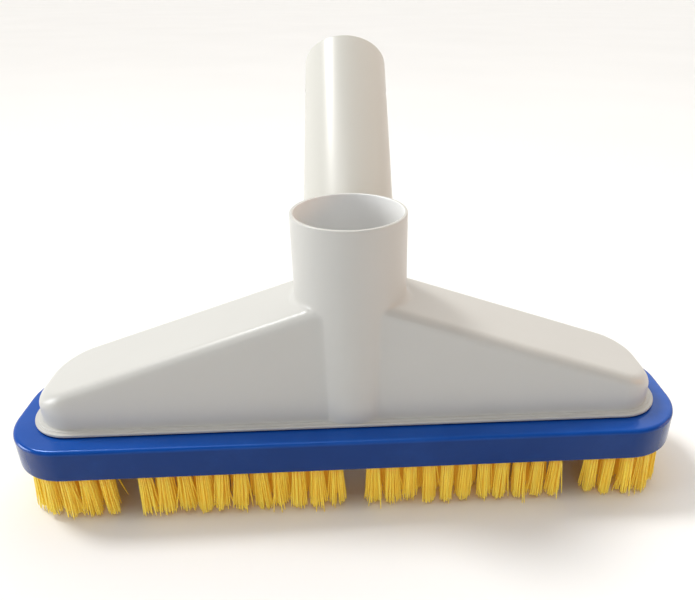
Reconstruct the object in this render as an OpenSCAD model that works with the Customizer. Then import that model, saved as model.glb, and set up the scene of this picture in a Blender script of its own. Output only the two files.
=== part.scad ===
// Pool wall brush with a suction hood: a bristle block, a hood with a hose cuff, and a socket for a pole.
// Millimetres, +Z up. The bristle tips stand on z = 0. The origin is below the middle of the bounding box.
// Inside the modules, z = 0 is the top face of the block, and x = y = 0 is the axis of the hose cuff.

/* [Brush block] */
// Length of the block
block_l = 250; // [244:1:260]
// Width of the block
block_w = 56; // [54:0.5:60]
// Thickness of the block
block_h = 13; // [12:0.5:16]
// Radius of the block's corners, seen from above
block_corner_r = 22; // [20:0.5:24]
// Radius of the rounding along the block's top edge
block_edge_r = 1.5; // [0.8:0.1:2]
// Width of the suction windows through the block
window_w = 20; // [14:0.5:20]

/* [Bristles] */
// Length of the bristles below the block
bristle_l = 20.5; // [15:0.5:26]
// Distance from the block's edge to the middle of the outer row
outer_inset = 5; // [5:0.1:5.5]
// Distance between the outer row and the inner row
row_spacing = 7; // [6.5:0.1:7]
// Radius of a tuft where it leaves the block
tuft_root_r = 2.45; // [2:0.05:2.45]
// Radius of a tuft at its tips
tuft_tip_r = 3.3; // [2.5:0.05:3.3]
// Depth of the tuft holes
hole_depth = 9; // [8:0.5:10]

/* [Hood] */
// Length of the hood's walls
hood_l = 230; // [224:1:232]
// Width of the hood's walls
hood_w = 35.8; // [34:0.2:36]
// Height of the roof over the middle of the hood
ridge_h = 51.5; // [48:0.5:54]
// Height of the roof at each end of the hood
eave_h = 11.8; // [10:0.2:14]
// Thickness of the hood's walls and roof
hood_wall = 2.3; // [2:0.1:2.6]
// Width of the flange outside the walls
flange_out = 2.8; // [2:0.1:3]
// Thickness of the flange
flange_t = 1.7; // [1.4:0.1:2.4]

/* [Hose cuff] */
// Outer radius of the cuff
cuff_r = 20.25; // [20:0.05:20.5]
// Radius of the bore that takes the hose
cuff_bore_r = 19; // [18.5:0.1:19]
// Height of the cuff's rim above the block
cuff_h = 76.5; // [74:0.5:84]
// Depth of the bore down to the stop for the hose
cuff_bore_l = 31; // [28:0.5:31]

/* [Pole socket] */
// Outer radius of the tube
tube_r = 18.6; // [18.4:0.1:19]
// Radius of the bore that takes the pole
tube_bore_r = 16.25; // [16:0.05:16.3]
// Lean of the tube back from upright, in degrees
tube_lean = 51.1; // [48:0.1:54]
// Length of the tube from its seat on the hood to its open end
tube_l = 99.4; // [90:0.2:120]
// Radius of the two latch holes near the open end
latch_r = 4; // [3:0.1:4.5]
// Distance from the open end to the latch holes
latch_from_end = 20; // [15:0.5:30]

/* [Hidden] */

$fn = 96;
eps = 0.1;          // how far a cutting shape runs past the face that it cuts
white = "#f0eee6";
blue = "#1f4c9c";
yellow = "#ecbc2e";
steel = "#b8bcc0";

// Pole socket: its axis passes this point behind the cuff, and runs up and back along tube_dir
tube_through = [0, 23, 41.4];
tube_dir = [0, sin(tube_lean), cos(tube_lean)];
seat_at = 12;       // where the tube sits on the hood, measured along the axis
stub_from = -23;    // where the hood's stub starts, inside the hood
spigot_r = 15.35;
spigot_l = 24;
spigot_core_r = 12;
spigot_core_l = 26;
glue_gap = 0.05;
tube_rim_r = 1;
tube_end = tube_through + (seat_at + tube_l) * tube_dir;

// The whole object's extent along y, which places the origin
front_y = -block_w / 2;
rear_y = tube_end.y + tube_r * cos(tube_lean);
origin_y = (front_y + rear_y) / 2;
block_top = bristle_l + block_h;

// Hood
flange_l = hood_l + 2 * flange_out;
flange_w = hood_w + 2 * flange_out;
hood_corner_r = 13.5;
flange_edge_r = 0.5;
passage_r = 17;     // below the stop for the hose
rim_edge_r = 0.5;

// Screws that hold the block to the hood, on the centre line
screw_x = [-103, -40, 40, 103];
boss_r = 4;
pilot_r = 1.8;
pilot_l = 11;
screw_r = 1.75;
screw_l = 18;
screw_head_r = 3.6;
screw_head_h = 2.5;
screw_hole_r = 2.2;
counterbore_r = 4;
counterbore_l = 5;
recess_l = 4;       // the cross recess in a screw's head
recess_w = 1;
recess_depth = 1.4;

// Suction windows through the block: [middle, length] along x
windows = [[-71.5, 49], [0, 66], [71.5, 49]];
window_corner_r = 4;

// Bristle rows: each runs round a rectangle with round corners. The places in the outer row are whole
// steps from the front's middle and the inner row's are half steps, so the two rows are staggered.
outer_half_l = block_l / 2 - outer_inset;
outer_half_w = block_w / 2 - outer_inset;
outer_corner_r = block_corner_r - outer_inset;
outer_quarter = quarter_length(outer_half_l, outer_half_w, outer_corner_r);
outer_places = 78;
inner_half_l = outer_half_l - row_spacing;
inner_half_w = outer_half_w - row_spacing;
inner_corner_r = outer_corner_r - row_spacing;
inner_quarter = quarter_length(inner_half_l, inner_half_w, inner_corner_r);
inner_places = 72;
tuft_hole_r = 2.5;

// The places that hold tufts. The places between the groups are gaps for water.
outer_front_right = [1:11];
outer_right_end = [13:26];
outer_rear_right = [28:38];
outer_rear_left = [40:50];
outer_left_end = [52:65];
outer_front_left = [67:77];
inner_front_right = [1:10];
inner_right_end = [13:22];
inner_rear_right = [25:34];
inner_rear_left = [37:46];
inner_left_end = [49:58];
inner_front_left = [61:70];

// Metal anchor that the middle of a tuft's filaments is folded over, near the bottom of its hole
anchor_l = 4.98;
anchor_t = 0.5;
anchor_h = 2;
anchor_cover = 1;
anchor_gap = 0.02;

// Length of a quarter of a rounded rectangle's outline
function quarter_length(half_l, half_w, r) = (half_l - r) + PI * r / 2 + (half_w - r);

// Point on that quarter, s along it from the middle of the long side to the middle of the short side
function quarter_point(s, half_l, half_w, r) =
    let (straight = half_l - r, arc = PI * r / 2)
    s <= straight ? [s, half_w] :
    s <= straight + arc ?
        let (a = (s - straight) / r * 180 / PI)
        [straight + r * sin(a), half_w - r + r * cos(a)] :
    [half_l, half_w - r - (s - straight - arc)];

// Point s along the whole outline, from the middle of the front side towards +X and on round
function ring_point(s, half_l, half_w, r) =
    let (quarter = quarter_length(half_l, half_w, r),
         n = floor(s / quarter),
         within = n % 2 == 0 ? s - n * quarter : (n + 1) * quarter - s,
         p = quarter_point(within, half_l, half_w, r))
    [(n < 2 ? 1 : -1) * p.x, (n == 0 || n == 3 ? -1 : 1) * p.y];

function outer_point(i) =
    ring_point(i * 4 * outer_quarter / outer_places, outer_half_l, outer_half_w, outer_corner_r);
function inner_point(i) =
    ring_point((i + 0.5) * 4 * inner_quarter / inner_places, inner_half_l, inner_half_w, inner_corner_r);

// Moves a shape from the block-top frame to the object's own frame
module placed() {
    translate([0, -origin_y, block_top]) children();
}

// Puts a shape that is built along +Z on the axis of the pole socket, t along it
module on_tube_axis(t) {
    translate(tube_through + t * tube_dir) rotate([-tube_lean, 0, 0]) children();
}

module rounded_rect(l, w, r) {
    square([l - 2 * r, w], center = true);
    square([l, w - 2 * r], center = true);
    for (x = [-1, 1], y = [-1, 1])
        translate([x * (l / 2 - r), y * (w / 2 - r)]) circle(r);
}

// Cross-section of a slab from its middle out to half, with a rounding e at the outer top corner
module soft_profile(half, h, e) {
    square([half, h - e]);
    square([half - e, h]);
    translate([half - e, h - e]) circle(e);
}

// That cross-section on both sides of the middle, run along a length
module soft_bar(half, h, e, length) {
    linear_extrude(length, center = true)
        for (side = [0, 1]) mirror([side, 0]) soft_profile(half, h, e);
}

// Slab from z = 0 up to h, with corners of radius r and a rounding e along its top edge
module soft_slab(l, w, h, r, e) {
    rotate([90, 0, 90]) soft_bar(w / 2, h, e, l - 2 * r);
    rotate([90, 0, 0]) soft_bar(l / 2, h, e, w - 2 * r);
    for (x = [-1, 1], y = [-1, 1])
        translate([x * (l / 2 - r), y * (w / 2 - r), 0]) rotate_extrude() soft_profile(r, h, e);
}

// Ring wall from z = 0 up to h, with its upper edges rounded by e
module soft_ring(outer_r, inner_r, h, e) {
    rotate_extrude() {
        translate([inner_r, 0]) square([outer_r - inner_r, h - e]);
        translate([inner_r + e, 0]) square([outer_r - inner_r - 2 * e, h]);
        translate([inner_r + e, h - e]) circle(e);
        translate([outer_r - e, h - e]) circle(e);
    }
}

// Everything under the roof planes, lowered by drop
module under_roof(drop) {
    half = hood_l / 2;
    eave = eave_h - drop;
    rotate([90, 0, 0]) linear_extrude(2 * hood_w, center = true)
        polygon([[-half, -eps], [half, -eps], [half, eave], [0, ridge_h - drop], [-half, eave]]);
}

module hood_outside() {
    soft_slab(flange_l, flange_w, flange_t, hood_corner_r + flange_out, flange_edge_r);
    intersection() {
        linear_extrude(ridge_h) rounded_rect(hood_l, hood_w, hood_corner_r);
        under_roof(0);
    }
    cylinder(h = cuff_h - rim_edge_r, r = cuff_r);
    translate([0, 0, cuff_h - cuff_bore_l]) soft_ring(cuff_r, cuff_bore_r, cuff_bore_l, rim_edge_r);
    on_tube_axis(stub_from) cylinder(h = seat_at - stub_from, r = tube_r);
}

module hood_cavity() {
    intersection() {
        translate([0, 0, -eps]) linear_extrude(ridge_h)
            rounded_rect(hood_l - 2 * hood_wall, hood_w - 2 * hood_wall, hood_corner_r - hood_wall);
        under_roof(hood_wall / cos(atan((ridge_h - eave_h) / (hood_l / 2))));
    }
    translate([0, 0, -eps]) cylinder(h = cuff_h, r = passage_r);
    translate([0, 0, cuff_h - cuff_bore_l]) cylinder(h = cuff_bore_l + eps, r = cuff_bore_r);
}

module screw_bosses() {
    intersection() {
        for (x = screw_x)
            translate([x, 0, 0]) cylinder(h = ridge_h, r = boss_r);
        under_roof(hood_wall / 2);
    }
}

module spigot() {
    on_tube_axis(seat_at - eps) cylinder(h = spigot_l + eps, r = spigot_r);
}

module vacuum_hood() {
    color(white) placed() difference() {
        union() {
            difference() {
                hood_outside();
                hood_cavity();
            }
            screw_bosses();
            spigot();
        }
        for (x = screw_x)
            translate([x, 0, -eps]) cylinder(h = pilot_l + eps, r = pilot_r);
        on_tube_axis(seat_at + spigot_l - spigot_core_l)
            cylinder(h = spigot_core_l + eps, r = spigot_core_r);
    }
}

module pole_socket_tube() {
    stop_at = spigot_l + glue_gap;
    color(white) placed() on_tube_axis(seat_at) difference() {
        union() {
            cylinder(h = stop_at, r = tube_r);
            translate([0, 0, stop_at]) soft_ring(tube_r, tube_bore_r, tube_l - stop_at, tube_rim_r);
        }
        translate([0, 0, -eps]) cylinder(h = stop_at + 2 * eps, r = spigot_r + glue_gap);
        translate([0, 0, tube_l - latch_from_end]) rotate([0, 90, 0])
            cylinder(h = 2 * tube_r + 2, r = latch_r, center = true);
    }
}

module brush_block() {
    color(blue) placed() translate([0, 0, -block_h]) difference() {
        soft_slab(block_l, block_w, block_h, block_corner_r, block_edge_r);
        for (w = windows)
            translate([w[0], 0, -eps]) linear_extrude(block_h + 2 * eps)
                rounded_rect(w[1], window_w, window_corner_r);
        for (x = screw_x)
            translate([x, 0, -eps]) {
                cylinder(h = block_h + 2 * eps, r = screw_hole_r);
                cylinder(h = counterbore_l + eps, r = counterbore_r);
            }
        for (p = concat(outer_points(), inner_points()))
            translate([p.x, p.y, -eps]) cylinder(h = hole_depth + eps, r = tuft_hole_r, $fn = 32);
    }
}

module hood_screws() {
    color(steel) placed() for (x = screw_x)
        translate([x, 0, counterbore_l - block_h]) difference() {
            union() {
                cylinder(h = screw_l, r = screw_r);
                translate([0, 0, -screw_head_h]) cylinder(h = screw_head_h, r = screw_head_r);
            }
            for (turn = [0, 90])
                translate([0, 0, -screw_head_h]) rotate([0, 0, turn])
                    cube([recess_l, recess_w, 2 * recess_depth], center = true);
        }
}

function points_of(groups, outer) = [for (g = groups) for (i = g) outer ? outer_point(i) : inner_point(i)];
function outer_points() = points_of([outer_front_right, outer_right_end, outer_rear_right,
                                     outer_rear_left, outer_left_end, outer_front_left], true);
function inner_points() = points_of([inner_front_right, inner_right_end, inner_rear_right,
                                     inner_rear_left, inner_left_end, inner_front_left], false);

// The anchor's box, made larger by gap on each side
module anchor_box(gap) {
    translate([0, 0, hole_depth - block_h - anchor_cover - anchor_h / 2])
        cube([anchor_l + 2 * gap, anchor_t + 2 * gap, anchor_h + 2 * gap], center = true);
}

module tuft() {
    difference() {
        union() {
            translate([0, 0, -block_h]) cylinder(h = hole_depth, r = tuft_root_r, $fn = 32);
            translate([0, 0, -block_h - bristle_l])
                cylinder(h = bristle_l, r1 = tuft_tip_r, r2 = tuft_root_r, $fn = 32);
        }
        anchor_box(anchor_gap);
    }
}

module tufts(points) {
    color(yellow) placed() for (p = points)
        translate([p.x, p.y, 0]) tuft();
}

module anchors(points) {
    color(steel) placed() for (p = points)
        translate([p.x, p.y, 0]) anchor_box(0);
}

vacuum_hood();
pole_socket_tube();
brush_block();
hood_screws();
tufts(points_of([outer_front_left], true));  // front_left_outer_tufts
tufts(points_of([outer_front_right], true));  // front_right_outer_tufts
tufts(points_of([outer_rear_left], true));  // rear_left_outer_tufts
tufts(points_of([outer_rear_right], true));  // rear_right_outer_tufts
tufts(points_of([outer_left_end], true));  // left_end_outer_tufts
tufts(points_of([outer_right_end], true));  // right_end_outer_tufts
tufts(points_of([inner_front_left], false));  // front_left_inner_tufts
tufts(points_of([inner_front_right], false));  // front_right_inner_tufts
tufts(points_of([inner_rear_left], false));  // rear_left_inner_tufts
tufts(points_of([inner_rear_right], false));  // rear_right_inner_tufts
tufts(points_of([inner_left_end], false));  // left_end_inner_tufts
tufts(points_of([inner_right_end], false));  // right_end_inner_tufts
anchors(concat(points_of([outer_front_left, outer_front_right], true),  // front_anchors
                   points_of([inner_front_left, inner_front_right], false)));
anchors(concat(points_of([outer_rear_left, outer_rear_right], true),  // rear_anchors
                   points_of([inner_rear_left, inner_rear_right], false)));
anchors(concat(points_of([outer_left_end], true), points_of([inner_left_end], false)));  // left_end_anchors
anchors(concat(points_of([outer_right_end], true), points_of([inner_right_end], false)));  // right_end_anchors
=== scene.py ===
"""Looks of the pool wall brush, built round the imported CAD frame. Blender 4.5.

Shapes are built in millimetres in a local frame: x = y = 0 is the hose cuff's axis and z = 0 is the top
face of the brush block. to_row() turns them into the row's metres.
"""

import math

import bmesh
import bpy
import numpy as np
from mathutils import Matrix, Vector


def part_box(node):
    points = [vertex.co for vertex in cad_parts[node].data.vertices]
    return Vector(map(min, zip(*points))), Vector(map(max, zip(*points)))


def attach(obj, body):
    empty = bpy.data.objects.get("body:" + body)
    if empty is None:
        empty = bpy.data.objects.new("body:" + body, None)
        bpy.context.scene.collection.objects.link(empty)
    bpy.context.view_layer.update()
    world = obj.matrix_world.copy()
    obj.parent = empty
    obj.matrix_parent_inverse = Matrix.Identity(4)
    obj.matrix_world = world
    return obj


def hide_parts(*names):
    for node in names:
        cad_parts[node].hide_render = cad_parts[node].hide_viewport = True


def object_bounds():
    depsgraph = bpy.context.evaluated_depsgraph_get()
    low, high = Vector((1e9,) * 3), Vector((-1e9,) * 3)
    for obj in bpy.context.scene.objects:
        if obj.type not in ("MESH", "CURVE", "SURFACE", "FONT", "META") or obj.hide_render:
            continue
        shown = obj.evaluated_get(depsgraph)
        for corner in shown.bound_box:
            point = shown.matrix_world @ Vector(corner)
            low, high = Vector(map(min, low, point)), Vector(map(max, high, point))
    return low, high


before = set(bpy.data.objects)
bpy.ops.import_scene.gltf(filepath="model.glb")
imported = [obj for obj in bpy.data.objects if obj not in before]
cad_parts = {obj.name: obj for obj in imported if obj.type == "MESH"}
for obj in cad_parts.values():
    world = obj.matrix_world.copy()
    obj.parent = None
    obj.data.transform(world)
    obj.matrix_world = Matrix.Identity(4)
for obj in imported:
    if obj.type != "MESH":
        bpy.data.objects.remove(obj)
cad_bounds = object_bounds()

# --------------------------------------------------------------------------------------------------
# Sizes, from the CAD frame where it gives them
# --------------------------------------------------------------------------------------------------
MM = 0.001

block_lo, block_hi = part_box("brush_block")
hood_lo, hood_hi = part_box("vacuum_hood")
tube_lo, tube_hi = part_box("pole_socket_tube")

CUFF_AXIS_Y = (block_lo.y + block_hi.y) / 2
BLOCK_TOP = block_hi.z

BLOCK_HALF_L = (block_hi.x - block_lo.x) / 2 / MM
BLOCK_HALF_W = (block_hi.y - block_lo.y) / 2 / MM
BLOCK_H = (block_hi.z - block_lo.z) / MM
BLOCK_CORNER_R = 22.0
BLOCK_EDGE_R = 1.5

FLANGE_HALF_L = (hood_hi.x - hood_lo.x) / 2 / MM
FLANGE_OUT = 2.8
FLANGE_HALF_W = 20.7
FLANGE_T = 1.7
FLANGE_EDGE_R = 0.45
# The step on top of the flange and the shadow gap under its rim, in from its outline
FLANGE_STEP_IN = 1.35
FLANGE_STEP_H = 0.4
FLANGE_GAP_IN = 1.5
FLANGE_GAP_H = 0.4
HOOD_HALF_L = FLANGE_HALF_L - FLANGE_OUT
HOOD_HALF_W = 18.15
HOOD_CORNER_R = 13.5
HOOD_WALL = 2.3
HOOD_DRAFT = 0.0117
RIDGE_H = 51.5
EAVE_H = 11.8
ROOF_EDGE_R = 4.0

CUFF_H = (hood_hi.z - hood_lo.z) / MM
CUFF_R = 20.25
CUFF_BORE_R = 19.0
CUFF_BORE_L = 31.0
PASSAGE_R = 17.0

TUBE_R = (tube_hi.x - tube_lo.x) / 2 / MM
TUBE_BORE_R = 16.25
TUBE_LEAN = math.radians(51.1)
TUBE_THROUGH = np.array([0.0, 23.0, 41.4])
TUBE_DIR = np.array([0.0, math.sin(TUBE_LEAN), math.cos(TUBE_LEAN)])
# Places along the pole socket's axis
STUB_START = -23.0
SPIGOT_START = 8.0
SPIGOT_CORE_START = 10.0
TUBE_SEAT = 12.0
TUBE_END = TUBE_SEAT + 99.4
SPIGOT_R = 15.35
SPIGOT_CORE_R = 12.0
SPIGOT_L = 24.0
GLUE_GAP = 0.05
LATCH_R = 4.0
LATCH_FROM_END = 20.0

SCREW_X = (-103.0, -40.0, 40.0, 103.0)
BOSS_R = 4.0
COUNTERBORE_R = 4.0
COUNTERBORE_L = 5.0
SCREW_HOLE_R = 2.2
WINDOWS = ((-71.5, 24.5), (0.0, 33.0), (71.5, 24.5))
WINDOW_HALF_W = 10.0
WINDOW_CORNER_R = 4.0
TUFT_HOLE_R = 2.5
TUFT_HOLE_L = 9.0


def to_row(points):
    """Local millimetres to the row frame in metres."""
    return np.asarray(points, float) * MM + np.array([0.0, CUFF_AXIS_Y, BLOCK_TOP])


# --------------------------------------------------------------------------------------------------
# Mesh helpers
# --------------------------------------------------------------------------------------------------
def arc(centre, radius, start, end, steps):
    """Points along an arc, angles in degrees, both ends included."""
    angles = np.radians(np.linspace(start, end, steps + 1))
    return [(centre[0] + radius * math.cos(a), centre[1] + radius * math.sin(a)) for a in angles]


def round_rect(half_l, half_w, r, steps=16):
    """Outline of a rectangle with round corners, counter-clockwise from its right side."""
    points = []
    for (sx, sy), start in zip(((1, 1), (-1, 1), (-1, -1), (1, -1)), (0, 90, 180, 270)):
        points += arc((sx * (half_l - r), sy * (half_w - r)), r, start, start + 90, steps)
    return points


def mesh_object(name, verts, faces):
    """Object from local millimetre vertices and faces, with its normals facing out."""
    mesh = bpy.data.meshes.new(name)
    mesh.from_pydata([tuple(v) for v in to_row(verts)], [], [tuple(f) for f in faces])
    bm = bmesh.new()
    bm.from_mesh(mesh)
    bmesh.ops.recalc_face_normals(bm, faces=bm.faces)
    bm.to_mesh(mesh)
    bm.free()
    obj = bpy.data.objects.new(name, mesh)
    bpy.context.scene.collection.objects.link(obj)
    return obj


def stacked(name, rings):
    """Closed solid from rings of equal length, (outline, z) each, from the lowest to the highest."""
    n = len(rings[0][0])
    verts = [(x, y, z) for outline, z in rings for x, y in outline]
    faces = [tuple(range(n)), tuple(range(len(verts) - n, len(verts)))]
    for k in range(len(rings) - 1):
        for i in range(n):
            j = (i + 1) % n
            faces.append((k * n + i, k * n + j, (k + 1) * n + j, (k + 1) * n + i))
    return mesh_object(name, verts, faces)


def slab_rings(half_l, half_w, r, profile, steps=16):
    """Rings for stacked(): the rounded rectangle at each (inset, z) of the profile."""
    return [(round_rect(half_l - inset, half_w - inset, r - inset, steps), z) for inset, z in profile]


def lathe_mesh(profile, steps):
    """Vertices and faces of a closed (r, z) profile turned about z. A point with r = 0 is on the axis."""
    verts, faces, rows = [], [], []
    for r, z in profile:
        on_axis = r < 1e-9
        rows.append((len(verts), on_axis))
        for i in range(1 if on_axis else steps):
            a = 2 * math.pi * i / steps
            verts.append((r * math.cos(a), r * math.sin(a), z))
    for k, (first, axis_a) in enumerate(rows):
        second, axis_b = rows[(k + 1) % len(rows)]
        if axis_a and axis_b:
            continue
        for i in range(steps):
            j = (i + 1) % steps
            a, b = (first, first) if axis_a else (first + i, first + j)
            d, c = (second, second) if axis_b else (second + i, second + j)
            faces.append(tuple(dict.fromkeys((a, b, c, d))))
    return verts, faces


def lathe(name, profile, steps=128, place=None):
    """Turned solid. place, if given, moves the local vertices."""
    verts, faces = lathe_mesh(profile, steps)
    return mesh_object(name, place(verts) if place else verts, faces)


def on_tube_axis(verts):
    """Moves what is built along +z from 0 onto the pole socket's axis, where z is the distance along it."""
    v = np.asarray(verts, float)
    back = np.array([0.0, math.cos(TUBE_LEAN), -math.sin(TUBE_LEAN)])
    return TUBE_THROUGH + v[:, :1] * np.array([1.0, 0, 0]) + v[:, 1:2] * back + v[:, 2:] * TUBE_DIR


def copies(name, verts, faces, places):
    """One object holding a copy of the same closed mesh at each place."""
    verts = np.asarray(verts, float)
    n = len(verts)
    all_verts = np.concatenate([verts + np.asarray(p, float) for p in places])
    all_faces = [tuple(i + k * n for i in f) for k in range(len(places)) for f in faces]
    return mesh_object(name, all_verts, all_faces)


def boolean(base, operation, tool):
    """Applies UNION or DIFFERENCE with the tool to the base, and removes the tool."""
    modifier = base.modifiers.new("boolean", "BOOLEAN")
    modifier.operation = operation
    modifier.solver = "MANIFOLD"
    modifier.object = tool
    graph = bpy.context.evaluated_depsgraph_get()
    graph.update()
    result = bpy.data.meshes.new_from_object(base.evaluated_get(graph))
    base.modifiers.clear()
    old = base.data
    base.data = result
    bpy.data.meshes.remove(old)
    used = tool.data
    bpy.data.objects.remove(tool)
    bpy.data.meshes.remove(used)
    return base


def finish_piece(obj, material, nodes, sharp=32.0, weighted=True):
    """Shades and paints a finished piece, parents it to the root body and hides the CAD nodes it stands for.
    """
    mesh = obj.data
    mesh.shade_smooth()
    mesh.set_sharp_from_angle(angle=math.radians(sharp))
    mesh.materials.clear()
    mesh.materials.append(material)
    if weighted:
        modifier = obj.modifiers.new("weighted normals", "WEIGHTED_NORMAL")
        modifier.keep_sharp = True
    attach(obj, "root")
    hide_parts(*nodes)


# --------------------------------------------------------------------------------------------------
# Distance fields and the surface through them
# --------------------------------------------------------------------------------------------------
def rect_distance(x, y, half_l, half_w, r):
    """Distance to a rectangle with round corners, negative inside."""
    qx = np.abs(x) - (half_l - r)
    qy = np.abs(y) - (half_w - r)
    outside = np.hypot(np.maximum(qx, 0), np.maximum(qy, 0))
    return outside + np.minimum(np.maximum(qx, qy), 0) - r


def round_join(a, b, r):
    """Union of two fields with a fillet of radius r."""
    return np.maximum(r, np.minimum(a, b)) - np.hypot(np.maximum(r - a, 0), np.maximum(r - b, 0))


def round_overlap(a, b, r):
    """Intersection of two fields with a rounded edge of radius r."""
    return np.minimum(-r, np.maximum(a, b)) + np.hypot(np.maximum(r + a, 0), np.maximum(r + b, 0))


CUBE = np.array([(i, j, k) for i in (0, 1) for j in (0, 1) for k in (0, 1)])
CUBE_EDGES = [(a, b) for a in range(8) for b in range(a + 1, 8) if np.abs(CUBE[a] - CUBE[b]).sum() == 1]


def net_vertices(values, cells):
    """Middle of the crossings on each cell's edges, in cell units."""
    total = np.zeros((len(cells), 3))
    crossings = np.zeros(len(cells))
    for a, b in CUBE_EDGES:
        va, vb = values[:, a], values[:, b]
        cross = (va < 0) != (vb < 0)
        t = np.where(cross, va / np.where(cross, va - vb, 1.0), 0.0)
        total += cross[:, None] * (CUBE[a] + t[:, None] * (CUBE[b] - CUBE[a]))
        crossings += cross
    return cells + total / crossings[:, None]


def net_faces(inside, index):
    """A quad round each grid edge that the surface crosses, facing from inside to outside."""
    faces = []
    for axis in range(3):
        b, c = (axis + 1) % 3, (axis + 2) % 3
        low = [slice(1, -1)] * 3
        low[axis] = slice(0, -1)
        high = list(low)
        high[axis] = slice(1, None)
        here = inside[tuple(low)]
        at = np.argwhere(here != inside[tuple(high)])
        starts_inside = here[tuple(at.T)]
        at = at + np.array([s.start for s in low])
        step_b, step_c = np.eye(3, dtype=int)[b], np.eye(3, dtype=int)[c]
        ring = [index[tuple((at - step).T)] for step in (step_b + step_c, step_c, 0 * step_b, step_b)]
        quads = np.stack(ring, axis=1)
        faces.append(np.where(starts_inside[:, None], quads, quads[:, ::-1]))
    return np.concatenate(faces)


def surface_of(field, low, high, step, passes=4):
    """Quad mesh of field = 0 in a box, with each vertex moved onto the surface."""
    axes = [np.arange(a, b + step, step) for a, b in zip(low, high)]
    grid = np.empty([len(a) for a in axes], np.float32)
    y, z = np.meshgrid(axes[1], axes[2], indexing="ij")
    for i, x in enumerate(axes[0]):
        grid[i] = field(np.full_like(y, x), y, z)
    inside = grid < 0
    shape = np.array(grid.shape) - 1
    corner = [tuple(slice(o, o + n) for o, n in zip(offset, shape)) for offset in CUBE]
    count = sum(inside[c].astype(np.int8) for c in corner)
    active = (count > 0) & (count < 8)
    cells = np.argwhere(active)
    index = np.full(active.shape, -1)
    index[active] = np.arange(len(cells))
    values = np.stack([grid[c][active] for c in corner], axis=1).astype(float)
    verts = np.array(low) + step * net_vertices(values, cells)
    delta = 0.02 * step
    for _ in range(passes):
        f = field(*verts.T)
        slope = np.stack([(field(*(verts + delta * e).T) - field(*(verts - delta * e).T)) / (2 * delta)
                          for e in np.eye(3)], axis=1)
        move = -(f / np.maximum((slope ** 2).sum(1), 0.2))[:, None] * slope
        length = np.linalg.norm(move, axis=1, keepdims=True)
        verts = verts + move * np.minimum(1.0, 0.5 * step / np.maximum(length, 1e-9))
    return verts, net_faces(inside, index)


# --------------------------------------------------------------------------------------------------
# Hood: walls, roof, flange and hose cuff as one moulding
# --------------------------------------------------------------------------------------------------
ROOF_SLOPE = (RIDGE_H - EAVE_H) / HOOD_HALF_L
ROOF_COS = math.cos(math.atan(ROOF_SLOPE))
FIELD_STEP = 0.9

STUB_EDGE_R = 0.5
STUB_FILLET_R = 2.2
FOOT_FILLET_R = 0.9
CAVITY_EDGE_R = 1.6
BOSS_FILLET_R = 0.8
# The cuff's fillet: small down the walls, wider near the roof, and less where the cuff faces a wall
CUFF_FILLET_R = 0.15
CUFF_FILLET_GROWTH = 2.6
CUFF_FILLET_FADE = 4.0
CUFF_FILLET_WALL_SHARE = 0.85
# The cuff stands this far above its rim until the bore tool trims it
CUFF_OVER = 1.0
# The foot of the walls overlaps the flange ring by this much beside it and stays this far below its top
FOOT_OVERLAP = 0.1
FOOT_BELOW_TOP = 0.05
# Gap between the hood's open bottom and the block
HOOD_BOTTOM = 0.02


def wall_field(x, y, z, inset=0.0):
    """Distance to the hood's walls, which lean in by the draft."""
    lean = HOOD_DRAFT * z + inset
    half_l, half_w = HOOD_HALF_L - lean, HOOD_HALF_W - lean
    return rect_distance(x, y, half_l, half_w, HOOD_CORNER_R - inset)


def roof_field(x, z):
    """Distance above the roof, which slopes down to both ends."""
    return (z - RIDGE_H + ROOF_SLOPE * np.abs(x)) * ROOF_COS


def tube_axis_distance(x, y, z):
    """Distance from the pole socket's axis, and the place along it."""
    dy, dz = y - TUBE_THROUGH[1], z - TUBE_THROUGH[2]
    along = dy * TUBE_DIR[1] + dz * TUBE_DIR[2]
    across = dy * TUBE_DIR[2] - dz * TUBE_DIR[1]
    return np.hypot(x, across), along


def cuff_fillet(x, y, roof):
    """Radius of the fillet between the cuff and the hood."""
    near_roof = np.clip(1.0 + roof / CUFF_FILLET_FADE, 0.0, 1.0)
    faces_wall = np.abs(y) / np.maximum(np.hypot(x, y), 1.0)
    return CUFF_FILLET_R + CUFF_FILLET_GROWTH * near_roof * (1.0 - CUFF_FILLET_WALL_SHARE * faces_wall)


def foot_field(x, y, z):
    """The walls' foot, which ends inside the flange ring."""
    foot_in = FLANGE_GAP_IN + FOOT_OVERLAP
    outline = rect_distance(x, y, FLANGE_HALF_L - foot_in, FLANGE_HALF_W - foot_in,
                            HOOD_CORNER_R + FLANGE_OUT - foot_in)
    return np.maximum(outline, z - FLANGE_T + FOOT_BELOW_TOP)


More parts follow.
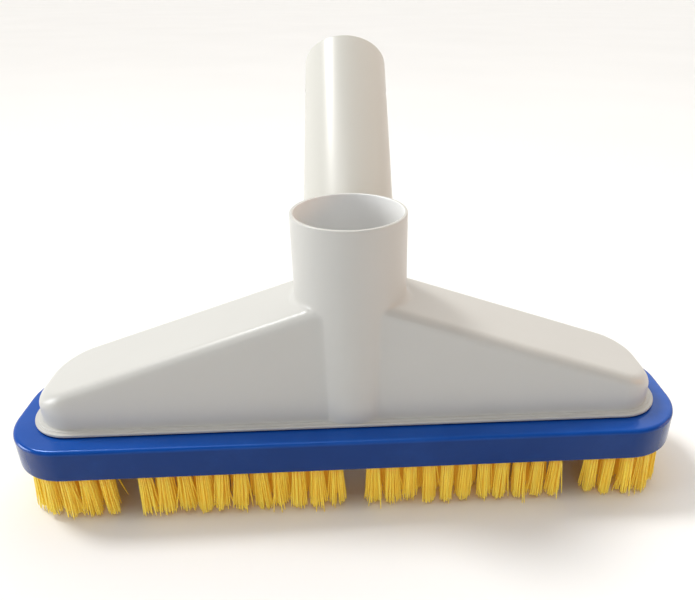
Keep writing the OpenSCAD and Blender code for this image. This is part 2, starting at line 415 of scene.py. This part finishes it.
def hood_field(x, y, z):
    """Distance to the hood without its flange ring and with the cuff still solid at the top."""
    walls = wall_field(x, y, z)
    roof = roof_field(x, z)
    outside = round_overlap(walls, roof, ROOF_EDGE_R)
    cuff = np.maximum(np.hypot(x, y) - CUFF_R, z - CUFF_H - CUFF_OVER)
    outside = round_join(outside, cuff, cuff_fillet(x, y, roof))
    from_axis, along = tube_axis_distance(x, y, z)
    stub = round_overlap(from_axis - TUBE_R, along - TUBE_SEAT, STUB_EDGE_R)
    stub = np.maximum(stub, STUB_START - along)
    outside = round_join(outside, stub, STUB_FILLET_R)
    outside = round_join(outside, foot_field(x, y, z), FOOT_FILLET_R)
    cavity = round_overlap(wall_field(x, y, z, HOOD_WALL), roof + HOOD_WALL, CAVITY_EDGE_R)
    shell = np.maximum(outside, -cavity)
    for screw_x in SCREW_X:
        boss = np.maximum(np.hypot(x - screw_x, y) - BOSS_R, roof + HOOD_WALL / 2)
        shell = round_join(shell, boss, BOSS_FILLET_R)
    spigot = np.maximum(from_axis - SPIGOT_R, np.maximum(along - TUBE_SEAT - SPIGOT_L, SPIGOT_START - along))
    core = np.maximum(from_axis - SPIGOT_CORE_R, SPIGOT_CORE_START - along)
    shell = np.maximum(np.minimum(shell, spigot), -core)
    return np.maximum(shell, HOOD_BOTTOM - z)


def flange_ring():
    """The flange, with a step on top and a shadow gap under its rim."""
    edge = FLANGE_EDGE_R
    quarters = ((FLANGE_GAP_H + edge, -1, (90, 60, 30, 0)), (FLANGE_T - edge, 1, (0, 30, 60, 90)))
    profile = [(FLANGE_GAP_IN, 0.0), (FLANGE_GAP_IN, FLANGE_GAP_H)]
    profile += [(edge - edge * math.cos(a), z0 + side * edge * math.sin(a))
                for z0, side, angles in quarters
                for a in map(math.radians, angles)]
    step = ((0.0, 0.0), (0.15, 0.3), (0.4, FLANGE_STEP_H))
    profile += [(FLANGE_STEP_IN + inward, FLANGE_T + up) for inward, up in step]
    rings = slab_rings(FLANGE_HALF_L, FLANGE_HALF_W, HOOD_CORNER_R + FLANGE_OUT, profile, 24)
    flange = stacked("flange", rings)
    inset, over = HOOD_WALL / 2, 2.0
    rings = slab_rings(HOOD_HALF_L - inset, HOOD_HALF_W - inset, HOOD_CORNER_R - inset,
                       ((0, -over), (0, FLANGE_T + over)), 24)
    return boolean(flange, "DIFFERENCE", stacked("mouth", rings))


def cuff_bore_tool():
    """Cuts the stepped bore and leaves a round rim. It also trims the cuff to its height."""
    rim_in, rim_out = 0.35, 0.5
    below, above, beside = 3.0, 8.0, 6.0
    profile = [(0.0, -below), (PASSAGE_R, -below), (PASSAGE_R, CUFF_H - CUFF_BORE_L)]
    profile += [(CUFF_BORE_R, CUFF_H - CUFF_BORE_L)]
    profile += [(2 * (CUFF_BORE_R + rim_in) - r, z)
                for r, z in arc((CUFF_BORE_R + rim_in, CUFF_H - rim_in), rim_in, 0, 90, 5)]
    profile += arc((CUFF_R - rim_out + 0.01, CUFF_H - rim_out), rim_out, 90, 10, 6)
    profile += [(CUFF_R + 0.3, CUFF_H - 2.2), (CUFF_R + beside, CUFF_H), (CUFF_R + beside, CUFF_H + above),
                (0.0, CUFF_H + above)]
    return lathe("bore_tool", profile, 256)


def build_hood():
    """Meshes the distance field in a box that holds the spigot's end, then adds the flange and the bore."""
    box_back = 62.0
    low = (-FLANGE_HALF_L - 2, -FLANGE_HALF_W - 2, -2.0)
    high = (FLANGE_HALF_L + 2, box_back, CUFF_H + 3.0)
    verts, faces = surface_of(hood_field, low, high, FIELD_STEP)
    hood = mesh_object("hood_shell", verts, faces)
    boolean(hood, "UNION", flange_ring())
    return boolean(hood, "DIFFERENCE", cuff_bore_tool())


# --------------------------------------------------------------------------------------------------
# Pole socket tube
# --------------------------------------------------------------------------------------------------
def build_tube():
    """A plain tube with round ends, a shoulder for the pole and a hole through both sides."""
    rim, seam = 1.0, 0.5
    shoulder_h, shoulder_in = 1.0, 0.2
    stop = TUBE_SEAT + SPIGOT_L
    lower_r = SPIGOT_R + GLUE_GAP
    profile = [(lower_r, TUBE_SEAT)]
    profile += arc((TUBE_R - seam, TUBE_SEAT + seam), seam, -90, 0, 4)
    profile += arc((TUBE_R - rim, TUBE_END - rim), rim, 0, 90, 6)
    profile += arc((TUBE_BORE_R + rim, TUBE_END - rim), rim, 90, 180, 6)
    profile += [(TUBE_BORE_R, stop + shoulder_h), (TUBE_BORE_R - shoulder_in, stop), (lower_r, stop)]
    tube = lathe("pole_tube", profile, 192, on_tube_axis)
    reach = 2 * TUBE_R
    verts, faces = lathe_mesh([(0, -reach), (LATCH_R, -reach), (LATCH_R, reach), (0, reach)], 64)
    hole = np.asarray(verts)[:, [2, 1, 0]] + [0, 0, TUBE_END - LATCH_FROM_END]
    return boolean(tube, "DIFFERENCE", mesh_object("latch_tool", on_tube_axis(hole), faces))


# --------------------------------------------------------------------------------------------------
# Brush block
# --------------------------------------------------------------------------------------------------
def tuft_places():
    """Middle of each tuft in each tuft node, in local millimetres, read from the CAD solids."""
    places = {}
    for name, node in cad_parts.items():
        if not name.endswith("_tufts"):
            continue
        bm = bmesh.new()
        bm.from_mesh(node.data)
        bmesh.ops.remove_doubles(bm, verts=bm.verts, dist=1e-5)
        left = set(bm.verts)
        middles = []
        while left:
            island, edge = set(), [left.pop()]
            while edge:
                v = edge.pop()
                island.add(v)
                for e in v.link_edges:
                    other = e.other_vert(v)
                    if other in left:
                        left.discard(other)
                        edge.append(other)
            co = np.array([v.co for v in island])
            middle = (co.min(0) + co.max(0)) / 2
            middles.append((middle[0] / MM, (middle[1] - CUFF_AXIS_Y) / MM))
        bm.free()
        places[name] = sorted(middles)
    return places


def build_block(places):
    """The block with its round edges, suction windows, tuft holes and counterbored screw holes."""
    top, foot = BLOCK_EDGE_R, 0.8
    foot_angles = np.radians(np.linspace(90, 0, 5))
    top_angles = np.radians(np.linspace(0, 90, 9))
    profile = [(foot - foot * math.cos(a), -BLOCK_H + foot - foot * math.sin(a)) for a in foot_angles]
    profile += [(top - top * math.cos(a), -top + top * math.sin(a)) for a in top_angles]
    block = stacked("block", slab_rings(BLOCK_HALF_L, BLOCK_HALF_W, BLOCK_CORNER_R, profile, 28))

    lip, over = 0.7, 0.3
    window_profile = ((-lip - over, -BLOCK_H - over), (0, -BLOCK_H + lip), (0, -lip / 2), (-lip, lip / 2))
    for middle, half_l in WINDOWS:
        rings = slab_rings(half_l, WINDOW_HALF_W, WINDOW_CORNER_R, window_profile, 10)
        rings = [([(x + middle, y) for x, y in outline], z) for outline, z in rings]
        boolean(block, "DIFFERENCE", stacked("window_tool", rings))

    chamfer, drill_point = 0.25, 1.2
    hole = [(0, -1), (TUFT_HOLE_R + chamfer + 1, -1), (TUFT_HOLE_R, chamfer), (TUFT_HOLE_R, TUFT_HOLE_L),
            (0, TUFT_HOLE_L + drill_point)]
    verts, faces = lathe_mesh(hole, 28)
    tufts = [(x, y, -BLOCK_H) for node in places.values() for x, y in node]
    boolean(block, "DIFFERENCE", copies("hole_tool", verts, faces, tufts))

    chamfer = 0.4
    bore = [(0, -1), (COUNTERBORE_R + chamfer + 1, -1), (COUNTERBORE_R, chamfer),
            (COUNTERBORE_R, COUNTERBORE_L), (SCREW_HOLE_R, COUNTERBORE_L), (SCREW_HOLE_R, BLOCK_H + 1),
            (0, BLOCK_H + 1)]
    verts, faces = lathe_mesh(bore, 48)
    screws = [(x, 0, -BLOCK_H) for x in SCREW_X]
    return boolean(block, "DIFFERENCE", copies("screw_tool", verts, faces, screws))


# --------------------------------------------------------------------------------------------------
# Screws
# --------------------------------------------------------------------------------------------------
def build_screws():
    """Pan-head screws with a thread of rings and a cross recess."""
    head_r, head_h, head_edge, chamfer = 3.6, 2.5, 1.3, 0.15
    length, core_r, crest_r, pitch = 18.0, 1.35, 1.72, 1.5
    thread_start, point_l = 0.6, 2.5
    profile = [(0, -head_h)]
    profile += arc((head_r - head_edge, -head_h + head_edge), head_edge, -90, 0, 6)
    profile += [(head_r, -chamfer), (head_r - chamfer, 0), (core_r, 0)]
    for k in range(int((length - point_l) / pitch)):
        z = thread_start + k * pitch
        profile += [(core_r, z), (crest_r, z + pitch / 2), (core_r, z + pitch)]
    profile += [(0, length)]
    verts, faces = lathe_mesh(profile, 40)
    places = [(x, 0, COUNTERBORE_L - BLOCK_H) for x in SCREW_X]
    screws = copies("screws", verts, faces, places)

    half_l, half_w, depth, taper, over = 2.0, 0.5, 1.4, 0.35, 0.5
    sides = [(0, 1, 2, 3), (4, 5, 6, 7)] + [(i, (i + 1) % 4, (i + 1) % 4 + 4, i + 4) for i in range(4)]
    for turn in (0, 1):
        outline = [(half_l, half_w), (-half_l, half_w), (-half_l, -half_w), (half_l, -half_w)]
        outline = [(y, x) if turn else (x, y) for x, y in outline]
        corners = [(x, y, -head_h - over) for x, y in outline]
        corners += [(taper * x, taper * y, -head_h + depth) for x, y in outline]
        boolean(screws, "DIFFERENCE", copies("recess_tool", corners, sides, places))
    return screws


# --------------------------------------------------------------------------------------------------
# Bristles: every filament is its own tapered strand
# --------------------------------------------------------------------------------------------------
STRANDS = 62
STRAND_R = 0.27
STRAND_SIDES = 5
STRAND_RINGS = 6
STRAND_TIP_SHARE = 0.55
TUFT_ROOT_R = 2.25
TUFT_TIP_R = 3.05
# How much tufts and strands differ: ranges and spreads of the random draws
FLARE_RANGE = (0.9, 1.25)
CLUMPS = 5
CLUMP_PULL = (0.05, 0.45)
STRAY_SHARE = 0.07
STRAY_SPREAD = 1.7
STRAY_EXTRA_L = 1.4
# Mean height of a tuft's tips above the floor in its middle, and how much higher they are at its rim
TIP_CLEARANCE = 0.8
TIP_DOME = 1.3


def strand_paths(rng, centre):
    """Paths of one tuft's filaments, (strands, rings, 3), from inside the hole to the tips."""
    floor = -BLOCK_TOP / MM
    i = np.arange(STRANDS)
    radius = TUFT_ROOT_R * np.sqrt((i + 0.5) / STRANDS)
    # Each strand is turned from the one before by the golden angle, which spreads them evenly
    angle = i * math.pi * (3 - math.sqrt(5)) + rng.uniform(0, 2 * math.pi)
    root = np.stack([radius * np.cos(angle), radius * np.sin(angle)], 1) + rng.normal(0, 0.08, (STRANDS, 2))

    flare = TUFT_TIP_R / TUFT_ROOT_R * rng.uniform(*FLARE_RANGE)
    tip = root * flare * rng.normal(1.0, 0.1, (STRANDS, 1)) + rng.normal(0, 0.22, (STRANDS, 2))
    clumps = rng.normal(0, 0.62 * TUFT_TIP_R, (CLUMPS, 2))
    nearest = np.argmin(np.linalg.norm(tip[:, None] - clumps[None], axis=2), axis=1)
    tip += (clumps[nearest] - tip) * rng.uniform(*CLUMP_PULL, (STRANDS, 1))
    tip += rng.normal(0, 0.5, 2)
    stray = rng.random(STRANDS) < STRAY_SHARE
    tip[stray] += rng.normal(0, STRAY_SPREAD, (stray.sum(), 2))

    dome = TIP_DOME * (radius / TUFT_ROOT_R) ** 2
    low = floor + TIP_CLEARANCE + dome + rng.normal(0, 0.55) + rng.normal(0, 0.35, STRANDS)
    low[stray] -= rng.uniform(0.0, STRAY_EXTRA_L, stray.sum())
    low = np.maximum(low, floor + rng.uniform(0.02, 0.3, STRANDS))

    bend = rng.normal(0, 0.3, (STRANDS, 2))
    s = np.linspace(0, 1, STRAND_RINGS)[None, :, None]
    start = -BLOCK_H + 1.5
    flat = root[:, None] + (tip - root)[:, None] * s ** 1.25 + bend[:, None] * (s * (1 - s)) * 2
    height = start + (low[:, None, None] - start) * s
    edge = np.array([BLOCK_HALF_L, BLOCK_HALF_W]) - 2 * STRAND_R
    flat = np.clip(flat + np.asarray(centre), -edge, edge)
    return np.concatenate([flat, np.broadcast_to(height, flat.shape[:2] + (1,))], axis=2)


def build_tufts(name, places, seed):
    """One object with all the filaments of a group of tufts, and their shade and place along each."""
    rng = np.random.default_rng(seed)
    paths = np.concatenate([strand_paths(rng, p) for p in places])
    n = len(paths)
    turn = 2 * math.pi * np.arange(STRAND_SIDES) / STRAND_SIDES
    circle = np.stack([np.cos(turn), np.sin(turn), np.zeros(STRAND_SIDES)], 1)
    taper = np.array([1.0] * (STRAND_RINGS - 1) + [STRAND_TIP_SHARE])
    size = STRAND_R * rng.normal(1.0, 0.06, n)
    rings = paths[:, :, None] + circle * (size[:, None, None, None] * taper[None, :, None, None])
    verts = rings.reshape(-1, 3)
    per_strand = STRAND_RINGS * STRAND_SIDES
    faces = []
    for k in range(STRAND_RINGS - 1):
        for i in range(STRAND_SIDES):
            j = (i + 1) % STRAND_SIDES
            a, b = k * STRAND_SIDES, (k + 1) * STRAND_SIDES
            faces.append((a + i, a + j, b + j, b + i))
    faces.append(tuple(range(STRAND_SIDES)))
    faces.append(tuple(range(per_strand - STRAND_SIDES, per_strand)))
    all_faces = [tuple(v + s * per_strand for v in f) for s in range(n) for f in faces]
    obj = mesh_object(name, verts, all_faces)
    shade = np.repeat(rng.random(n), per_strand)
    along = np.tile(np.repeat(np.linspace(0, 1, STRAND_RINGS), STRAND_SIDES), n)
    for attribute, values in (("strand_shade", shade), ("strand_along", along)):
        layer = obj.data.attributes.new(attribute, "FLOAT", "POINT")
        layer.data.foreach_set("value", values.astype(np.float32))
    return obj


# --------------------------------------------------------------------------------------------------
# Materials
# --------------------------------------------------------------------------------------------------
class Painter:
    """A node material with short ways to add nodes."""

    def __init__(self, name):
        self.material = bpy.data.materials.new(name)
        self.material.use_nodes = True
        self.tree = self.material.node_tree
        self.shader = self.tree.nodes["Principled BSDF"]
        self.place = self.add("ShaderNodeTexCoord").outputs["Object"]

    def add(self, kind, **inputs):
        """A node, with its inputs set or linked by name (spaces written as _) or by number (in_0)."""
        node = self.tree.nodes.new(kind)
        for key, value in inputs.items():
            by_number = key.startswith("in_")
            self.feed(node.inputs[int(key[3:])] if by_number else node.inputs[key.replace("_", " ")], value)
        return node

    def feed(self, socket, value):
        """Links a socket to another node's output, or sets it."""
        if isinstance(value, bpy.types.NodeSocket):
            self.tree.links.new(value, socket)
        else:
            socket.default_value = value

    def set(self, **values):
        """Sets or links the shader's own sockets."""
        for key, value in values.items():
            self.feed(self.shader.inputs[key.replace("_", " ")], value)

    def stretched(self, scale):
        """Object coordinates scaled by a different amount on each axis."""
        node = self.add("ShaderNodeMapping", Vector=self.place)
        node.inputs["Scale"].default_value = scale
        return node.outputs["Vector"]

    def noise(self, scale, detail=3.0, roughness=0.5, vector=None):
        node = self.add("ShaderNodeTexNoise", Vector=vector or self.place, Scale=scale, Detail=detail,
                        Roughness=roughness)
        return node.outputs["Fac"]

    def remap(self, value, from_min, from_max, to_min=0.0, to_max=1.0):
        """The value moved from one range to another and kept inside it."""
        node = self.add("ShaderNodeMapRange", in_0=value, in_1=from_min, in_2=from_max, in_3=to_min,
                        in_4=to_max)
        return node.outputs[0]

    def mix(self, factor, a, b):
        """Blend of two colours, each a tuple or a socket."""
        node = self.tree.nodes.new("ShaderNodeMix")
        node.data_type = "RGBA"
        for socket, value in ((node.inputs[0], factor), (node.inputs[6], a), (node.inputs[7], b)):
            self.feed(socket, (*value, 1.0) if isinstance(value, tuple) else value)
        return node.outputs[2]

    def math(self, operation, a, b=0.0):
        node = self.add("ShaderNodeMath", in_0=a, in_1=b)
        node.operation = operation
        return node.outputs[0]

    def bump(self, height, distance, strength=1.0, normal=None):
        node = self.add("ShaderNodeBump", Height=height, Distance=distance, Strength=strength)
        if normal:
            self.tree.links.new(normal, node.inputs["Normal"])
        return node.outputs["Normal"]

    def specks(self, scale, share, size):
        """1 on a few small round specks, 0 elsewhere. share is how many of the cells hold one."""
        cells = self.add("ShaderNodeTexVoronoi", Vector=self.place, Scale=scale)
        near = self.remap(cells.outputs["Distance"], size, size * 0.5)
        parts = self.add("ShaderNodeSeparateColor", in_0=cells.outputs["Color"])
        chosen = self.math("GREATER_THAN", parts.outputs[0], 1.0 - share)
        return self.math("MULTIPLY", near, chosen)


def white_plastic(name, dark, light, roughness):
    """Satin white with a faint cloud and a few dust specks. The cuff's bore is painted paler than the rest,
    as painted light for the light that bounces round inside it.
    """
    p = Painter(name)
    cloud = p.remap(p.noise(14.0, 3.0, 0.5), 0.25, 0.75)
    tint = p.mix(cloud, dark, light)
    dust = p.specks(60.0, 0.012, 0.035)
    colour = p.mix(p.math("MULTIPLY", dust, 0.5), tint, (0.16, 0.14, 0.12))
    axis = p.add("ShaderNodeMapping", Vector=p.place)
    axis.inputs["Location"].default_value = (0.0, -CUFF_AXIS_Y, 0.0)
    axis.inputs["Scale"].default_value = (1.0, 1.0, 0.0)
    from_axis = p.add("ShaderNodeVectorMath", in_0=axis.outputs["Vector"])
    from_axis.operation = "LENGTH"
    # Painted light: the cuff's bore gets a paler white, standing in for the light that bounces round inside
    # it
    bore_painted_light = p.math("LESS_THAN", from_axis.outputs["Value"], (CUFF_BORE_R + 0.2) * MM)
    colour = p.mix(bore_painted_light, colour, (0.9, 0.9, 0.89))
    rough = p.remap(p.noise(160.0, 4.0, 0.55), 0.25, 0.75, roughness - 0.03, roughness + 0.03)
    waves = p.bump(p.noise(20.0, 2.0, 0.4), 0.0006, 0.25)
    skin = p.bump(p.noise(1300.0, 2.0, 0.5), 0.00001, 0.4, waves)
    p.set(Base_Color=colour, Roughness=rough, Normal=skin, IOR=1.49)
    return p.material


def blue_plastic():
    """Deep blue with a faint bloom and a few pale nicks. The top is painted paler than the sides: painted
    light for the light falling on it from above, and partly fading.
    """
    p = Painter("block_blue")
    cloud = p.remap(p.noise(30.0, 5.0, 0.6), 0.3, 0.7)
    sides = p.mix(cloud, (0.002, 0.024, 0.145), (0.003, 0.03, 0.175))
    # Painted light, partly fading: the top face gets a paler blue than the sides
    faded_and_lit_top = p.mix(cloud, (0.005, 0.063, 0.34), (0.008, 0.08, 0.4))
    height = p.add("ShaderNodeSeparateXYZ", Vector=p.place).outputs["Z"]
    on_top = p.remap(height, BLOCK_TOP - 1.8 * MM, BLOCK_TOP - 0.3 * MM)
    colour = p.mix(on_top, sides, faded_and_lit_top)
    bloom = p.remap(p.noise(75.0, 6.0, 0.7), 0.52, 0.78)
    colour = p.mix(p.math("MULTIPLY", bloom, 0.12), colour, (0.02, 0.1, 0.4))
    nicks = p.specks(70.0, 0.03, 0.035)
    colour = p.mix(p.math("MULTIPLY", nicks, 0.6), colour, (0.3, 0.42, 0.7))
    rough = p.remap(p.noise(210.0, 4.0, 0.6), 0.3, 0.7, 0.14, 0.19)
    waves = p.bump(p.noise(55.0, 3.0, 0.5), 0.0012, 0.4)
    skin = p.bump(p.noise(1100.0, 3.0, 0.5), 0.00003, 0.4, waves)
    p.set(Base_Color=colour, Roughness=rough, Normal=skin, IOR=1.5, Specular_Tint=(0.3, 0.5, 1.0, 1.0),
          Specular_IOR_Level=0.5)
    return p.material


def bristle_nylon():
    """Yellow filaments. A weak, constant warm emission makes them glow: painted light that brightens them
    and fills the shade between the tufts, standing in for their fluorescent colour too.
    """
    p = Painter("bristle_yellow")
    shade = p.add("ShaderNodeAttribute")
    shade.attribute_name = "strand_shade"
    along = p.add("ShaderNodeAttribute")
    along.attribute_name = "strand_along"
    body = p.mix(shade.outputs["Fac"], (0.95, 0.68, 0.055), (1.0, 0.82, 0.1))
    # Painted shade: the filaments darken towards the root, under the block and between the tufts
    root_painted_shade = p.mix(p.remap(along.outputs["Fac"], 0.0, 0.35), (0.78, 0.44, 0.03), body)
    # Painted highlight: the last part of each filament, towards its tip, is paler and brighter
    tip_painted_highlight = p.remap(along.outputs["Fac"], 0.72, 1.0, 0.0, 0.8)
    colour = p.mix(tip_painted_highlight, root_painted_shade, (0.98, 0.86, 0.14))
    rough = p.remap(p.noise(900.0, 3.0), 0.3, 0.7, 0.3, 0.46)
    grain = p.bump(p.noise(1.0, 3.0, 0.5, p.stretched((2600.0, 2600.0, 300.0))), 0.00004, 0.6)
    # Painted light: the filaments glow with a weak, constant warm emission
    p.set(Base_Color=colour, Roughness=rough, Normal=grain, IOR=1.53, Emission_Color=(1.0, 0.5, 0.06, 1.0),
          Emission_Strength=0.075)
    return p.material


def plain_metal(name, dark, light, roughness):
    """Metal with fine turning marks."""
    p = Painter(name)
    cloud = p.remap(p.noise(700.0, 5.0, 0.6), 0.3, 0.7)
    colour = p.mix(cloud, dark, light)
    turned = p.noise(1.0, 2.0, 0.5, p.stretched((1200.0, 1200.0, 9000.0)))
    rough = p.remap(turned, 0.3, 0.7, roughness - 0.08, roughness + 0.12)
    p.set(Base_Color=colour, Roughness=rough, Metallic=1.0, Normal=p.bump(turned, 0.00003, 0.5))
    return p.material


# --------------------------------------------------------------------------------------------------
# Build the pieces
# --------------------------------------------------------------------------------------------------
hood_white = white_plastic("hood_white", (0.545, 0.54, 0.515), (0.565, 0.56, 0.535), 0.33)
tube_white = white_plastic("tube_white", (0.585, 0.575, 0.53), (0.605, 0.595, 0.55), 0.33)
blue = blue_plastic()
nylon = bristle_nylon()
screw_metal = plain_metal("screw_metal", (0.42, 0.42, 0.41), (0.6, 0.6, 0.58), 0.3)
anchor_brass = plain_metal("anchor_brass", (0.5, 0.36, 0.14), (0.7, 0.54, 0.25), 0.35)

finish_piece(build_hood(), hood_white, ["vacuum_hood"])
finish_piece(build_tube(), tube_white, ["pole_socket_tube"])
all_places = tuft_places()
finish_piece(build_block(all_places), blue, ["brush_block"])
finish_piece(build_screws(), screw_metal, ["hood_screws"])
for number, (node_name, node_places) in enumerate(sorted(all_places.items())):
    bristles = build_tufts(node_name.replace("tufts", "bristles"), node_places, 100 + number)
    finish_piece(bristles, nylon, [node_name], sharp=80.0, weighted=False)
for node_name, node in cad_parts.items():
    if node_name.endswith("_anchors"):
        node.data.materials.clear()
        node.data.materials.append(anchor_brass)

# --------------------------------------------------------------------------------------------------
# Floor, light and camera
# --------------------------------------------------------------------------------------------------
FLOOR_HALF = 14.0
AREA_WIDTH_SHARE = 0.35


def build_floor():
    """A wide pale floor at the height of the bristle tips."""
    mesh = bpy.data.meshes.new("floor")
    corners = [(-1, -1), (1, -1), (1, 1), (-1, 1)]
    mesh.from_pydata([(FLOOR_HALF * x, FLOOR_HALF * y, 0.0) for x, y in corners], [], [(0, 1, 2, 3)])
    floor = bpy.data.objects.new("floor", mesh)
    bpy.context.scene.collection.objects.link(floor)
    p = Painter("floor_pale")
    shade = p.remap(p.noise(3.0, 2.0), 0.3, 0.7)
    p.set(Base_Color=p.mix(shade, (0.87, 0.87, 0.87), (0.89, 0.89, 0.89)), Roughness=0.9,
          Specular_IOR_Level=0.0)
    mesh.materials.append(p.material)


def add_light(kind, name, direction, power, colour, spread):
    """A light aimed at the brush. spread is a sun's angle in degrees, or an area's length in metres."""
    data = bpy.data.lights.new(name, kind)
    data.energy = power
    data.color = colour
    if kind == "SUN":
        data.angle = math.radians(spread)
    else:
        data.shape = "RECTANGLE"
        data.size = spread
        data.size_y = AREA_WIDTH_SHARE * spread
    light = bpy.data.objects.new(name, data)
    bpy.context.scene.collection.objects.link(light)
    away = Vector(direction).normalized()
    light.location = (cad_bounds[0] + cad_bounds[1]) / 2 + away
    light.rotation_euler = away.to_track_quat("Z", "Y").to_euler()


def build_lights():
    """A window at the back left, side light, sky, front fill, warm glow on the right, softbox above."""
    add_light("SUN", "window", (-0.65, 0.35, 1.05), 1.6, (1.0, 0.99, 0.96), 14)
    add_light("SUN", "side", (-1.0, -0.05, 0.15), 1.6, (0.97, 0.99, 1.0), 25)
    add_light("SUN", "sky", (0.6, 0.4, 1.0), 0.8, (1.0, 0.96, 0.88), 70)
    add_light("SUN", "fill", (0.0, -1.0, 0.14), 0.55, (0.88, 0.93, 1.0), 40)
    add_light("SUN", "glow", (1.0, -0.1, 0.12), 0.7, (1.0, 0.45, 0.12), 30)
    add_light("AREA", "softbox", (-0.2, -0.2, 1.0), 3.3, (1.0, 0.99, 0.97), 1.0)


def build_world():
    """Lights the brush from behind, dimmer from elsewhere. Seen directly, it's a plain white backdrop."""
    world = bpy.data.worlds.new("studio")
    bpy.context.scene.world = world
    world.use_nodes = True
    tree = world.node_tree
    dim, behind = 0.12, 1.0
    dim_until, behind_from = 0.1, 0.75
    direction = tree.nodes.new("ShaderNodeTexCoord")
    parts = tree.nodes.new("ShaderNodeSeparateXYZ")
    strength = tree.nodes.new("ShaderNodeMapRange")
    tree.links.new(direction.outputs["Generated"], parts.inputs[0])
    tree.links.new(parts.outputs["Y"], strength.inputs["Value"])
    settings = (("From Min", dim_until), ("From Max", behind_from), ("To Min", dim), ("To Max", behind))
    for socket, value in settings:
        strength.inputs[socket].default_value = value
    soft = tree.nodes["Background"]
    soft.inputs["Color"].default_value = (1.0, 0.985, 0.96, 1.0)
    tree.links.new(strength.outputs["Result"], soft.inputs["Strength"])
    white = tree.nodes.new("ShaderNodeBackground")
    white.inputs["Color"].default_value = (1.0, 1.0, 1.0, 1.0)
    ray = tree.nodes.new("ShaderNodeLightPath")
    choose = tree.nodes.new("ShaderNodeMixShader")
    tree.links.new(ray.outputs["Is Camera Ray"], choose.inputs[0])
    tree.links.new(soft.outputs[0], choose.inputs[1])
    tree.links.new(white.outputs[0], choose.inputs[2])
    tree.links.new(choose.outputs[0], tree.nodes["World Output"].inputs["Surface"])
    bpy.context.scene.view_settings.view_transform = "Standard"


# The photo's viewpoint: place in local millimetres, angles, lens in millimetres and shifts
CAMERA_AT = np.array([0.0, -205.4, 146.3])
CAMERA_YAW, CAMERA_PITCH, CAMERA_ROLL = (math.radians(a) for a in (3.96, 25.77, 0.37))
CAMERA_LENS = 32.6
CAMERA_SENSOR = 36.0
CAMERA_SHIFT_X = -0.0608
CAMERA_SHIFT_Y = -0.0181


def build_camera():
    """Camera at the photo's viewing angle."""
    forward = Vector((math.sin(CAMERA_YAW) * math.cos(CAMERA_PITCH),
                      math.cos(CAMERA_YAW) * math.cos(CAMERA_PITCH), -math.sin(CAMERA_PITCH)))
    right = Vector((math.cos(CAMERA_YAW), -math.sin(CAMERA_YAW), 0.0))
    up = right.cross(forward)
    c, s = math.cos(CAMERA_ROLL), math.sin(CAMERA_ROLL)
    right, up = c * right + s * up, c * up - s * right
    data = bpy.data.cameras.new("camera")
    data.sensor_width = CAMERA_SENSOR
    data.lens = CAMERA_LENS
    data.shift_x = CAMERA_SHIFT_X
    data.shift_y = CAMERA_SHIFT_Y
    data.clip_start = 0.01
    camera = bpy.data.objects.new("camera", data)
    bpy.context.scene.collection.objects.link(camera)
    turn = Matrix((right, up, -forward)).transposed().to_4x4()
    camera.matrix_world = Matrix.Translation(Vector(to_row(CAMERA_AT))) @ turn
    bpy.context.scene.camera = camera


build_floor()
build_world()
build_camera()
build_lights()
